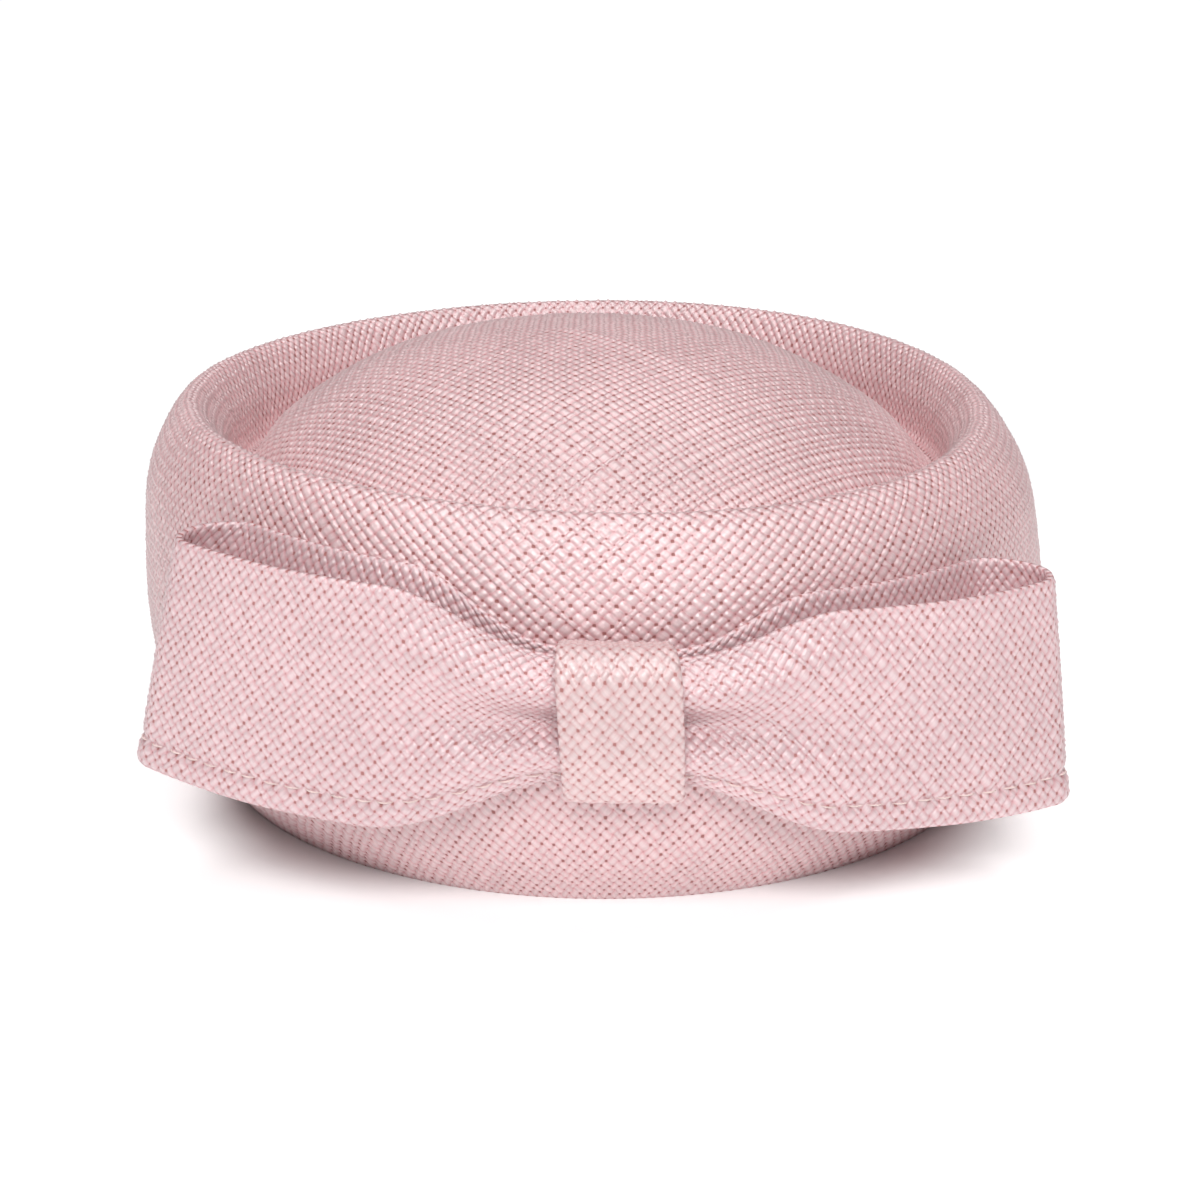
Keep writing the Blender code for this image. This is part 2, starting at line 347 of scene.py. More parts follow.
def strands_of(corner):
    """Strand coordinates of a lattice place: one crossing is one by one, with a strand along each."""
    right, up = corner[..., 0], corner[..., 1]
    return np.stack([(right + up) / 4, (right - up) / 4], axis=-1)


def parity_of(faces):
    """Which of the two sets of strands lies on top in each face's crossing."""
    cell = np.floor(strands_of(faces.mean(axis=1)))
    return (cell.sum(axis=-1) % 2).astype(int)


def baked(faces, rights, ups, columns, row, rows):
    """Places on the picture that the finish is baked to: the lattice is cut into that many columns,
    which are laid one above the other from row on, with a margin of two lattice places round each."""
    width = rights / columns
    column = np.clip(np.floor(faces[..., 0].mean(axis=1) / width), 0, columns - 1)[:, None]
    across = (faces[..., 0] - column * width + 2) / (width + 4)
    high = (faces[..., 1] + 2) / (ups + 4)
    return np.stack([across, (row + column + high) / rows], axis=-1)


def rims_of(faces):
    """The edges, as pairs of points, that only one face has."""
    sides = [np.stack([face, np.roll(face, -1, axis=1)], axis=-1) for face in faces]
    pairs = np.vstack([side.reshape(-1, 2) for side in sides])
    _, first, count = np.unique(np.sort(pairs, axis=1), axis=0, return_index=True, return_counts=True)
    return pairs[first[count == 1]]


def add_piece(name, points, faces, maps, looks, materials, nodes):
    """A piece that rides on the hat: points, lists of faces, maps with as many lists of coordinates,
    material numbers, its materials and the nodes that it replaces."""
    mesh = bpy.data.meshes.new(name)
    mesh.vertices.add(len(points))
    mesh.vertices.foreach_set("co", np.ascontiguousarray(points, np.float32).ravel())
    corners = np.concatenate([face.ravel() for face in faces])
    sizes = np.concatenate([np.full(len(face), face.shape[1]) for face in faces])
    mesh.loops.add(len(corners))
    mesh.loops.foreach_set("vertex_index", corners.astype(np.int32))
    mesh.polygons.add(len(sizes))
    starts = np.concatenate([[0], np.cumsum(sizes)[:-1]])
    mesh.polygons.foreach_set("loop_start", starts.astype(np.int32))
    mesh.update(calc_edges=True)
    mesh.polygons.foreach_set("material_index", np.concatenate(looks).astype(np.int32))
    mesh.polygons.foreach_set("use_smooth", np.ones(len(sizes), bool))
    for title, lists in maps.items():
        layer = mesh.uv_layers.new(name=title)
        values = np.concatenate([one.reshape(-1, 2) for one in lists])
        layer.data.foreach_set("uv", values.astype(np.float32).ravel())
    for material in materials:
        mesh.materials.append(material)
    mesh.validate()
    piece = bpy.data.objects.new(name, mesh)
    bpy.context.scene.collection.objects.link(piece)
    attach(piece, "root")
    if nodes:
        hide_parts(*nodes)
    return piece


def two_faced(name, places, outward, outer, inner, faces, picture, materials, nodes):
    """A sheet of cloth with a face each side: the same lattice twice, joined round its edges, where
    outward points out of the cloth. On the inner face the other set of strands lies on top.
    picture(faces, side) lays faces out on the baked picture."""
    numbers = np.full(places.max(axis=0) + 1, -1)
    numbers[places[:, 0], places[:, 1]] = np.arange(len(places))
    indexed = [numbers[face[..., 0], face[..., 1]] for face in faces]
    rims = rims_of(indexed)
    count = len(places)
    strips = np.stack([rims[:, 1], rims[:, 0], rims[:, 0] + count, rims[:, 1] + count], axis=1)
    far_side = (strips >= count)[..., None]
    strip_places = places[strips % count] + EDGE_STRIP * outward[strips % count] * far_side
    all_faces = indexed + [face[:, ::-1] + count for face in indexed] + [strips]
    backs = [face[:, ::-1] for face in faces]
    pictures = [picture(face, 0) for face in faces] + [picture(face, 1) for face in backs]
    maps = {
        "strands": [strands_of(face) for face in faces + backs] + [strands_of(places[strips % count])],
        "OFBake": pictures + [picture(strip_places, 0)],
    }
    looks = [parity_of(face) for face in faces] + [1 - parity_of(face) for face in faces]
    looks.append(parity_of(strip_places))
    return add_piece(name, np.vstack([outer, inner]), all_faces, maps, looks, materials, nodes)


def crown_rows():
    """Distance along the outline of each quarter row of crossings, from the lower edge to the groove.
    A crossing is a rhomb whose sides are the pitch: where those at the front are narrow, it is tall."""
    lengths = OUTLINE_LENGTHS[: GROOVE_INDEX + 1]
    half_width = np.pi * OUTLINE[: GROOVE_INDEX + 1, 0] / CROWN_CROSSINGS * (1 + wider_front(lengths))
    half_height = np.sqrt(CROWN_PITCH**2 - half_width**2)
    steps = np.diff(lengths) * 2 / (half_height[1:] + half_height[:-1])
    rows = np.concatenate([[0.0], np.cumsum(steps)])
    count = 2 * int(round(rows[-1] / 2))
    return np.interp(np.arange(2 * count + 1) * rows[-1] / (2 * count), rows, lengths)


def wider_front(distance):
    """How much wider the crossings at the front are, at that distance along the outline."""
    rim = OUTLINE_LENGTHS[5 * OUTLINE_STEPS]
    share = np.clip(distance / rim, 0, 1)
    return WIDER_FRONT["edge"] + (WIDER_FRONT["rim"] - WIDER_FRONT["edge"]) * share


def add_crown_side(materials):
    """The wall, rim and inner slope of the crown: the outline turned about the axis. Its outer face
    has every lattice place. Its inner face has only every other row's middles and corners."""
    rows = crown_rows()
    rights, ups = 4 * CROWN_CROSSINGS, len(rows) - 1
    squares, triangles = lattice_faces(rights, ups, closed=True)

    def point(places, out):
        right, up = wandered(places, rights, ups)
        distance = np.interp(up, np.arange(ups + 1), rows)
        azimuth = 2 * np.pi * right / rights
        azimuth = azimuth + wider_front(distance) * np.sin(2 * azimuth) / 2
        return on_crown(distance, azimuth, out)

    right, up = np.meshgrid(np.arange(rights), np.arange(ups + 1), indexing="ij")
    kept = (right + up) % 2 == 0
    places = np.stack([right[kept], up[kept]], axis=-1)
    numbers = np.full((rights, ups + 1), -1)
    numbers[places[:, 0], places[:, 1]] = np.arange(len(places))
    relief = relief_of(places[:, 0], places[:, 1]) * CROWN_PITCH
    outer = point(places, relief * (places[:, 1] > 0) * (places[:, 1] < ups))
    across, high = np.meshgrid(np.arange(0, rights, 2), np.arange(0, ups + 1, 4), indexing="ij")
    inner_numbers = len(outer) + np.arange(across.size).reshape(across.shape)
    inner_places = np.stack([across.ravel(), high.ravel()], axis=-1)
    within = (high.ravel() > 0) & (high.ravel() < ups)
    relief = relief_of(across.ravel(), high.ravel()) * CROWN_PITCH * within
    inner = point(inner_places, -CROWN_WALL - relief)
    inner[:, 2] = np.where(high.ravel() == 0, 0.0, inner[:, 2])
    faces = [numbers[face[..., 0] % rights, face[..., 1]] for face in (squares, triangles)]
    strands = [strands_of(face) for face in (squares, triangles)]
    looks = [parity_of(face) for face in (squares, triangles)]
    pictures = [baked(face, rights, ups, 2, 0, 4) for face in (squares, triangles)]
    columns, levels = across.shape
    low = np.meshgrid(np.arange(columns), np.arange(levels - 1), indexing="ij")
    low = np.stack(low, axis=-1).reshape(-1, 2)
    grid = np.stack([low, low + (0, 1), low + (1, 1), low + (1, 0)], axis=1)
    faces.append(inner_numbers[grid[..., 0] % columns, grid[..., 1]])
    strands.append(strands_of(grid * (2, 4)))
    looks.append(1 - parity_of(grid * (2, 4)))
    pictures.append(baked(grid * (2, 4), rights, ups, 2, 2, 4))
    ring = np.arange(columns)
    ahead = (ring + 1) % columns
    for row, last, out in ((0, 0, -EDGE_STRIP), (ups, levels - 1, EDGE_STRIP)):
        start, end = numbers[2 * ring, row], numbers[2 * ahead, row]
        inner_start, inner_end = inner_numbers[ring, last], inner_numbers[ahead, last]
        place = np.stack([2 * ring, 0 * ring + row], axis=-1).astype(float)
        beyond = place + (0, out)
        if row == 0:
            strip = [end, start, inner_start, inner_end]
            corners = np.stack([place + (2, 0), place, beyond, beyond + (2, 0)], axis=1)
        else:
            strip = [start, end, inner_end, inner_start]
            corners = np.stack([place, place + (2, 0), beyond + (2, 0), beyond], axis=1)
        faces.append(np.stack(strip, axis=1))
        strands.append(strands_of(corners))
        looks.append(parity_of(corners))
        pictures.append(baked(corners, rights, ups, 2, 0, 4))
    maps = {"strands": strands, "OFBake": pictures}
    points = np.vstack([outer, inner])
    return add_piece("crown_side", points, faces, maps, looks, materials, ["crown"])


def add_crown_tip(materials):
    """The domed tip: one flat lattice, square to the front, laid over the dome from its middle so that
    a place's distance from mid tip stays what it is in the flat cloth. Its rim ends in the groove."""
    reach = OUTLINE_LENGTHS[-1] - OUTLINE_LENGTHS[GROOVE_INDEX]
    quarter = CROWN_PITCH / np.sqrt(2) / 2
    span = 2 * (2 * int(np.ceil(reach / quarter / 4)) + 2)
    squares, triangles = lattice_faces(2 * span, 2 * span, closed=False)

    def flat(places):
        return np.hypot(*np.moveaxis((places - span) * quarter, -1, 0))

    kept = [face[(flat(face) < reach).any(axis=1)] for face in (squares, triangles)]
    places = np.unique(np.vstack([face.reshape(-1, 2) for face in kept]), axis=0)
    right, up = wandered(places, 2 * span, 2 * span)
    shift = (np.stack([right, up], axis=-1) - span) * quarter
    away = np.hypot(*shift.T)
    inside = away < reach
    relief = relief_of(places[:, 0], places[:, 1]) * CROWN_PITCH * inside
    distance = OUTLINE_LENGTHS[-1] - np.minimum(away, reach)
    azimuth = np.arctan2(shift[:, 0], -shift[:, 1])
    outer = on_crown(distance, azimuth, relief + tip_crease(shift))
    inner = on_crown(distance, azimuth, -CROWN_WALL - relief)
    outward = shift / np.maximum(away, quarter)[:, None]

    def picture(faces, side):
        half = (faces + 2) / (2 * span + 4)
        return np.stack([(half[..., 0] + side) / 2, half[..., 1]], axis=-1)

    return two_faced(
        "crown_tip", places, outward, outer, inner, kept, picture, materials, ["crown"]
    )


def tip_crease(shift):
    """How far a soft crease lifts the tip: a low ridge along a line, fading towards its ends."""
    start, end = np.array(CREASE["start"]), np.array(CREASE["end"])
    along = (end - start) / np.linalg.norm(end - start)
    share = (shift - start) @ along / np.linalg.norm(end - start)
    aside = (shift - start) @ np.array([-along[1], along[0]])
    fade = ease(-0.1, 0.15, share) * ease(1.1, 0.85, share)
    return CREASE["rise"] * np.exp(-((aside / CREASE["width"]) ** 2)) * fade


def swell_at(along):
    """Stand-off share and pinch share of a loop's front layer at that place along it."""
    rows = np.array([(row["along"], row["depth"], row["pinch"]) for row in LOOP_SWELL])
    return [np.interp(along, rows[:, 0], rows[:, column]) for column in (1, 2)]


def front_layer():
    """Radius of the middle of a loop's front layer where it lies flat on the back layer."""
    return BELLY_RADIUS + 2 * CLEARANCE + 1.5 * CLOTH


def loop_places(loop, ribbon, across):
    """Points on the middle of one loop's cloth. ribbon runs 0 to 1 from the knot, out along the crown,
    round the fold and back along the front, and across runs -1 to 1 from the lower edge up."""
    layer = (1 - FOLD_SHARE) / 2
    along = np.minimum(np.minimum(ribbon, 1 - ribbon) / layer, 1.0)
    fold = np.pi * np.clip((ribbon - layer) / FOLD_SHARE, 0.0, 1.0)
    knot_edge = (KNOT_WIDTH / 2 + CLEARANCE) / BELLY_RADIUS
    held = KNOT_HEIGHT / 2 - 1.5 * CLOTH - CLEARANCE
    reach = np.radians(BOW_REACH * (loop["reach"] - loop["flare"] * across))
    start = CLEARANCE / 2 / BELLY_RADIUS
    round_front = start + (reach - start) * along
    opened = ease(knot_edge / reach, 0.5, along)
    half = held + (BOW_WIDTH * loop["width"] / 2 - held) * opened
    azimuth = BOW_TURN + loop["side"] * round_front
    height = BOW_HEIGHT + loop["rise"] * BOW_WIDTH * along + half * across
    height = height - BOW_SLOPE * BELLY_RADIUS * np.sin(loop["side"] * round_front)
    back = wall_radius(azimuth, height) + CLEARANCE + CLOTH / 2
    depth, pinch = swell_at(along)
    depth = depth * BOW_DEPTH * (1 + (loop["depth"] - 1) * ease(0.3, 1.0, along))
    bulges = np.sin(np.pi * across) ** 2
    swell = depth * ((1 - pinch) + pinch * bulges)
    front = front_layer() + swell - BOW_SPLAY * along * across
    radius = back + (front - back) * (1 - np.cos(fold)) / 2
    azimuth = azimuth + loop["side"] * np.sin(fold) * FOLD_NOSE / BELLY_RADIUS
    return leaned(radius, azimuth, height)


def normals_of(surface, first, second, turn):
    """Unit normals of surface(first, second), from its slopes either way."""
    step = 1e-4
    along = surface(first + step, second) - surface(first - step, second)
    across = surface(first, second + step) - surface(first, second - step)
    normal = np.cross(along, across) * turn
    return normal / np.maximum(np.linalg.norm(normal, axis=-1, keepdims=True), 1e-12)


def add_cloth(name, surface, length, width, crossing, turn, hem, materials, nodes):
    """A strip of straw cloth on surface(along 0..1, across -1..1): a lattice with a face each side of
    the surface, half the cloth away, thinner along its edges. turn is 1 or -1, as along and across
    wind. hem is 1 for a hem at the lower edge, which is thicker up to the dent of its stitches."""
    rights = 4 * int(round(length / crossing[0]))
    ups = 4 * int(round(width / crossing[1]))
    faces = lattice_faces(rights, ups, closed=False)
    places = np.unique(np.vstack([face.reshape(-1, 2) for face in faces]), axis=0)
    right, up = wandered(places, rights, ups)
    right = np.where(places[:, 0] == 0, 0, np.where(places[:, 0] == rights, rights, right))
    ends = np.linspace(0.0, 1.0, 400)
    line = surface(ends, 0 * ends)
    lengths = lengths_along(line)
    along = np.interp(right / rights * lengths[-1], lengths, ends)
    across = 2 * up / ups - 1
    middle = surface(along, across)
    normal = normals_of(surface, np.clip(along, 2e-4, 1 - 2e-4), np.clip(across, -0.999, 0.999), turn)
    border = (places[:, 1] == 0) | (places[:, 1] == ups)
    from_edge = (across + 1) / 2 * width
    dent = np.exp(-(((from_edge - HEM_WIDTH) / HEM_DENT_WIDTH) ** 2))
    raised = ease(HEM_FADE[1] * HEM_WIDTH, HEM_FADE[0] * HEM_WIDTH, from_edge)
    hemmed = hem * (HEM_RISE * raised - HEM_DENT * dent)
    thick = CLOTH / 2 * np.where(border, THINNED["edge"], THINNED["face"]) + hemmed * ~border
    relief = relief_of(places[:, 0], places[:, 1]) * np.hypot(*crossing) / 2
    outer = middle + normal * (thick + relief * ~border)[:, None]
    inner = middle - normal * (thick + relief * ~border)[:, None]
    to_ends = 1 * (places[:, 0] == rights) - (places[:, 0] == 0)
    to_edges = 1 * (places[:, 1] == ups) - (places[:, 1] == 0)
    outward = np.stack([to_ends, to_edges], axis=-1)
    columns = 2 if rights > 3 * ups else 1

    def picture(corners, side):
        return baked(corners, rights, ups, columns, columns * side, 2 * columns)

    if turn < 0:
        faces = [face[:, ::-1] for face in faces]
    piece = two_faced(name, places, outward, outer, inner, faces, picture, materials, nodes)
    return piece, lengths[-1]


def add_loop(loop, name, materials):
    """One loop of the bow, folded back on itself at its outer end."""

    def surface(ribbon, across):
        return loop_places(loop, ribbon, across)

    ends = np.linspace(0, 1, 400)
    length = lengths_along(surface(ends, 0 * ends))[-1]
    width = BOW_WIDTH * loop["width"]
    piece, length = add_cloth(
        name, surface, length, width, LOOP_CROSSING, loop["side"], 1.0, materials, [loop["name"]]
    )
    return piece


def stitch_tubes(centres, sideways, upward):
    """Closed tubes along many lines at once: centres are (stitch, place, xyz), and each ring is a
    circle of THREAD across the line, narrowing to a point at both ends."""
    sides = 6
    count, places = centres.shape[:2]
    turn = 2 * np.pi * np.arange(sides) / sides
    thick = THREAD / 2 * np.sqrt(np.sin(np.pi * np.linspace(0.02, 0.98, places)))
    ring = np.cos(turn)[:, None] * sideways[:, :, None] + np.sin(turn)[:, None] * upward[:, :, None]
    points = centres[:, :, None] + ring * thick[None, :, None, None]
    number = np.arange(count * places * sides).reshape(count, places, sides)
    start, end = number[:, :-1], number[:, 1:]
    walls = np.stack([start, np.roll(start, -1, 2), np.roll(end, -1, 2), end], axis=-1).reshape(-1, 4)
    caps = np.vstack([number[:, 0, ::-1], number[:, -1]])
    return points.reshape(-1, 3), walls, caps


def add_stitches(materials):
    """Pale thread that holds the hem of each loop: a line of stitches along the hem's upper side, on
    the face that shows, each a little slack and dipping into the cloth at its ends."""
    points, walls, caps = [], [], []
    chance = np.random.default_rng(3)
    for loop in LOOPS:
        width = BOW_WIDTH * loop["width"]
        across = 2 * HEM_WIDTH / width - 1

        def surface(along, level, loop=loop):
            return loop_places(loop, along, level)

        ends = np.linspace(0.0, 1.0, 600)
        lengths = lengths_along(surface(ends, across + 0 * ends))
        starts = np.arange(STITCH_FROM_END, lengths[-1] - STITCH_FROM_END, STITCH_EVERY)
        share = np.linspace(0.0, 1.0, 7)
        uneven = STITCH_UNEVEN["along"]
        starts = starts + chance.uniform(-uneven, uneven, len(starts))
        along = np.interp(starts[:, None] + STITCH * share, lengths, ends)
        uneven = STITCH_UNEVEN["across"]
        slant = chance.uniform(-uneven, uneven, (len(starts), 1)) * (share - 0.5)
        level = across + slant + chance.uniform(-uneven, uneven, (len(starts), 1))
        normal = normals_of(surface, along, level, -loop["side"])
        out = CLOTH / 2 - HEM_DENT + THREAD * (0.3 + 1.2 * np.sin(np.pi * share))
        centres = surface(along, level) + normal * out[None, :, None]
        ahead = np.gradient(centres, axis=1)
        ahead /= np.linalg.norm(ahead, axis=-1, keepdims=True)
        sideways = np.cross(normal, ahead)
        tube = stitch_tubes(centres, sideways, normal)
        first = sum(len(part) for part in points)
        points.append(tube[0])
        walls.append(tube[1] + first)
        caps.append(tube[2] + first)
    faces = [np.vstack(walls), np.vstack(caps)]
    points = np.vstack(points)
    maps = {"strands": [points[face][..., [0, 2]] * 1000 for face in faces]}
    looks = [np.zeros(len(face), int) for face in faces]
    return add_piece("hem_stitches", points, faces, maps, looks, materials, [])


def thread_look():
    """Pale cotton thread, its twist a fine slanting ripple."""
    material = bpy.data.materials.new("cream_thread")
    material.use_nodes = True
    graph = Graph(material)
    surface = material.node_tree.nodes["Principled BSDF"]
    place = graph.add("ShaderNodeTexCoord").outputs["Object"]
    twist = graph.add("ShaderNodeTexNoise", Vector=place, Scale=2600.0, Detail=2.0).outputs[0]
    colour = graph.mix(twist, (0.78, 0.58, 0.54, 1.0), (0.92, 0.78, 0.75, 1.0))
    graph.tree.links.new(colour, surface.inputs["Base Color"])
    bump = graph.add("ShaderNodeBump", Height=twist, Strength=0.6, Distance=0.00008)
    graph.tree.links.new(bump.outputs[0], surface.inputs["Normal"])
    surface.inputs["Roughness"].default_value = 0.6
    return material


def bend(centre, radius, start, end):
    """Points round a bend, from start to end degrees."""
    angle = np.radians(np.linspace(start, end, 16))
    return np.array(centre) + radius * np.stack([np.cos(angle), np.sin(angle)], axis=-1)


def knot_line():
    """Radius and height of the middle of the knot band, from the crown over the gathered cloth to the
    crown. Its face draws in by KNOT_TUCK * share ** 2, where share runs 0 to 1 down its lower part."""
    shortest = np.radians(BOW_REACH * min(loop["reach"] - abs(loop["flare"]) for loop in LOOPS))
    shares = np.array([0, 0.5, 1]) * KNOT_WIDTH / 2 / BELLY_RADIUS / shortest
    front = front_layer() + swell_at(shares)[0].max() * BOW_DEPTH + CLOTH + CLEARANCE
    upper = BOW_HEIGHT + KNOT_HEIGHT / 2 - CLOTH / 2
    lower = BOW_HEIGHT - KNOT_HEIGHT / 2 + CLOTH / 2
    tuck = CLEARANCE + CLOTH
    face_top, face_end = upper - KNOT_UPPER_BEND, lower + KNOT_LOWER_BEND
    over = bend((front - KNOT_UPPER_BEND, face_top), KNOT_UPPER_BEND, 90, 0)
    height = np.linspace(face_top, face_end, 14)[1:-1]
    start = BOW_HEIGHT - KNOT_TUCK_FROM
    share = np.clip((start - height) / (start - face_end), 0.0, 1.0)
    face = np.stack([front - KNOT_TUCK * share**2, height], axis=-1)
    under = bend((front - KNOT_TUCK - KNOT_LOWER_BEND, face_end), KNOT_LOWER_BEND, 0, -90)
    first = (wall_radius(BOW_TURN, upper) + tuck, upper - KNOT_SINK)
    last = (wall_radius(BOW_TURN, lower) + tuck, lower)
    return np.vstack([first, over, face, under, last])


def add_knot(materials):
    """The band over the gathered middle of the bow."""
    line = knot_line()
    lengths = lengths_along(line)

    def surface(along, across):
        radius = np.interp(along * lengths[-1], lengths, line[:, 0])
        height = np.interp(along * lengths[-1], lengths, line[:, 1])
        round_front = across * KNOT_WIDTH / 2 / BELLY_RADIUS
        slope = BOW_SLOPE * BELLY_RADIUS * np.sin(round_front)
        return leaned(radius, BOW_TURN + round_front, height - slope)

    piece, length = add_cloth(
        "bow_band", surface, lengths[-1], KNOT_WIDTH, KNOT_CROSSING, 1, 0.0, materials, ["bow_knot"]
    )
    return piece


class Graph:
    """A material's nodes, added and linked in one call each."""

    def __init__(self, material):
        self.tree = material.node_tree

    def add(self, kind, settings=None, **inputs):
        node = self.tree.nodes.new(kind)
        for key, value in (settings or {}).items():
            setattr(node, key, value)
        for key, value in inputs.items():
            socket = node.inputs[int(key[1:]) if key[1:].isdigit() else key.replace("_", " ")]
            if isinstance(value, bpy.types.NodeSocket):
                self.tree.links.new(value, socket)
            else:
                socket.default_value = value
        return node

    def math(self, operation, first, second=0.0, third=0.0, clamp=False):
        settings = {"operation": operation, "use_clamp": clamp}
        return self.add("ShaderNodeMath", settings, i0=first, i1=second, i2=third).outputs[0]

    def between(self, value, low, high, to_low=0.0, to_high=1.0):
        """A smooth step from to_low, where the value is low, to to_high, where it is high."""
        inputs = {"i0": value, "i1": low, "i2": high, "i3": to_low, "i4": to_high}
        return self.add("ShaderNodeMapRange", {"interpolation_type": "SMOOTHSTEP"}, **inputs).outputs[0]

    def from_middle(self, value):
        """0 midway between two whole values and 1 at each whole value."""
        shift = self.math("SUBTRACT", self.math("FRACT", value), 0.5)
        return self.math("MULTIPLY", self.math("ABSOLUTE", shift), 2.0)

    def own_number(self, first, second):
        """A number from 0 to 1 for each pair of whole values."""
        place = self.add("ShaderNodeCombineXYZ", i0=first, i1=second).outputs[0]
        return self.add("ShaderNodeTexWhiteNoise", {"noise_dimensions": "2D"}, Vector=place).outputs[0]

    def mix(self, share, first, second, blend="MIX"):
        settings = {"data_type": "RGBA", "blend_type": blend}
        return self.add("ShaderNodeMix", settings, i0=share, i6=first, i7=second).outputs[2]


def straw(name, look, along):
    """Glossy straw seen on top of its crossings. along is 0 or 1, the strand coordinate that it
    follows. With end and edge 0 in mid crossing and 1 at its borders, along the strand and across it,
    a crossing is a pillow of height (1 - sink * step(end)) * (1 - sink * step(edge)), where step is a
    smooth step. Its colour goes from pale to a painted shade of darker pink by step(end) and
    (end * edge) ** 1.5, where the strand dips under its neighbours and towards the corners. Its fibres
    run along it. A hole shows at a corner where end * edge and a number of the corner's own add up
    high, and is painted dark as the shade seen through it."""
    material = bpy.data.materials.new(name)
    material.use_nodes = True
    graph = Graph(material)
    surface = material.node_tree.nodes["Principled BSDF"]
    strands = graph.add("ShaderNodeUVMap", {"uv_map": "strands"}).outputs[0]
    parts = graph.add("ShaderNodeSeparateXYZ", i0=strands).outputs
    run, side = parts[along], parts[1 - along]
    end, edge = graph.from_middle(run), graph.from_middle(side)
    dip = graph.between(end, *look["dip"])
    round_off = graph.between(edge, *look["round_off"])
    at_corner = graph.math("MULTIPLY", end, edge)
    corner_shade = graph.math("POWER", at_corner, 1.5)
    nearest = [graph.math("FLOOR", graph.math("ADD", parts[axis], 0.5)) for axis in (0, 1)]
    reach = graph.math("MULTIPLY_ADD", graph.own_number(*nearest), look["hole_change"], at_corner)
    hole = graph.between(reach, *look["hole"])
    cell = graph.own_number(graph.math("FLOOR", run), graph.math("FLOOR", side))
    drawn = [graph.math("MULTIPLY", part, often) for part, often in zip((run, side), look["fibres"])]
    drawn = graph.add("ShaderNodeCombineXYZ", i0=drawn[0], i1=drawn[1]).outputs[0]
    flat = {"noise_dimensions": "2D"}
    fibre = graph.add("ShaderNodeTexNoise", flat, Vector=drawn, Scale=1.0, Detail=2.0).outputs[0]
    place = graph.add("ShaderNodeTexCoord").outputs["Object"]
    dye = graph.add("ShaderNodeTexNoise", Vector=place, Scale=look["dye_scale"], Detail=2.0).outputs[0]
    # Painted shade: the straw turns darker pink where it dips under its neighbours and towards the
    # crossing's corners
    painted_shade = graph.math("MULTIPLY", corner_shade, 1 - look["painted_shade_end"])
    painted_shade = graph.math("MULTIPLY_ADD", dip, look["painted_shade_end"], painted_shade)
    colour = graph.mix(painted_shade, (*look["pale"], 1.0), (*look["deep"], 1.0))
    shade = graph.between(cell, 0.0, 1.0, 1 - look["cell_change"], 1.0)
    for value, low, high in ((dye, 0.95, 1.03), (fibre, 0.95, 1.04)):
        shade = graph.math("MULTIPLY", shade, graph.between(value, 0.3, 0.7, low, high))
    grey = graph.add("ShaderNodeCombineXYZ", i0=shade, i1=shade, i2=shade).outputs[0]
    colour = graph.mix(1.0, colour, grey, "MULTIPLY")
    # Painted shade: the holes at the crossings' corners are painted dark reddish brown
    colour = graph.mix(hole, colour, (*look["hole_shade"], 1.0))
    graph.tree.links.new(colour, surface.inputs["Base Color"])
    arch = graph.math("MULTIPLY_ADD", dip, -look["sink"], 1.0)
    height = graph.math("MULTIPLY", arch, graph.math("MULTIPLY_ADD", round_off, -look["sink"], 1.0))
    height = graph.math("MULTIPLY_ADD", fibre, look["fibre_rise"], height)
    bump = graph.add("ShaderNodeBump", Height=height, Strength=1.0, Distance=look["rise"])
    graph.tree.links.new(bump.outputs[0], surface.inputs["Normal"])
    tangent = graph.add("ShaderNodeTangent", {"direction_type": "UV_MAP", "uv_map": "strands"})
    graph.tree.links.new(tangent.outputs[0], surface.inputs["Tangent"])
    smooth, rough = look["roughness"] - 0.05, look["roughness"] + 0.05
    roughness = graph.between(fibre, 0.25, 0.75, smooth, rough)
    roughness = graph.math("MULTIPLY_ADD", hole, 0.4, roughness)
    graph.tree.links.new(roughness, surface.inputs["Roughness"])
    surface.inputs["Anisotropic"].default_value = look["anisotropic"]
    surface.inputs["Anisotropic Rotation"].default_value = 0.25 if along == 0 else 0.0
    surface.inputs["Specular IOR Level"].default_value = look["specular"]
    surface.inputs["IOR"].default_value = look["ior"]
    return material


# How each straw looks: its colours, with a darker pink painted as shade towards a crossing's borders
# and a dark colour painted as shade in its holes, how a crossing sinks and rounds off towards its
# borders, how often a hole shows at its corners, and how high the bump of the whole pillow and of its
# fibres is
CROWN_LOOK = {
    "deep": (0.67, 0.255, 0.280),
    "pale": (0.86, 0.640, 0.650),
    "hole_shade": (0.34, 0.105, 0.095),
    "dip": (0.10, 1.05),
    "round_off": (0.30, 1.10),
    "sink": 0.62,
    "painted_shade_end": 0.50,
    "hole": (0.82, 1.06),
    "hole_change": 0.42,
    "cell_change": 0.08,
    "dye_scale": 38.0,
    "fibres": (0.8, 8.0),
    "rise": 0.00034,
    "fibre_rise": 0.10,
    "roughness": 0.36,
    "anisotropic": 0.8,
    "specular": 0.9,
    "ior": 1.7,
}
BOW_LOOK = {
    **CROWN_LOOK,
    "hole_shade": (0.44, 0.16, 0.15),
    "deep": (0.67, 0.265, 0.295),
    "pale": (0.86, 0.645, 0.665),
    "rise": 0.00026,
    "roughness": 0.40,
}
KNOT_LOOK = {**BOW_LOOK, "deep": (0.64, 0.285, 0.290), "pale": (0.83, 0.630, 0.630)}

# The table's painted light, a glow though it is no lamp: little under the hat, which leaves a painted
# shade there, more round it, and most far off, where the soft boxes don't reach. Distances are from
# mid hat, by the fourth root of X to the fourth and Y to the fourth.
PAINTED_TABLE_LIGHT = {"under": 0.02, "round": 0.46, "far": 1.00, "hat": (0.074, 0.090), "room": (0.2, 0.8)}


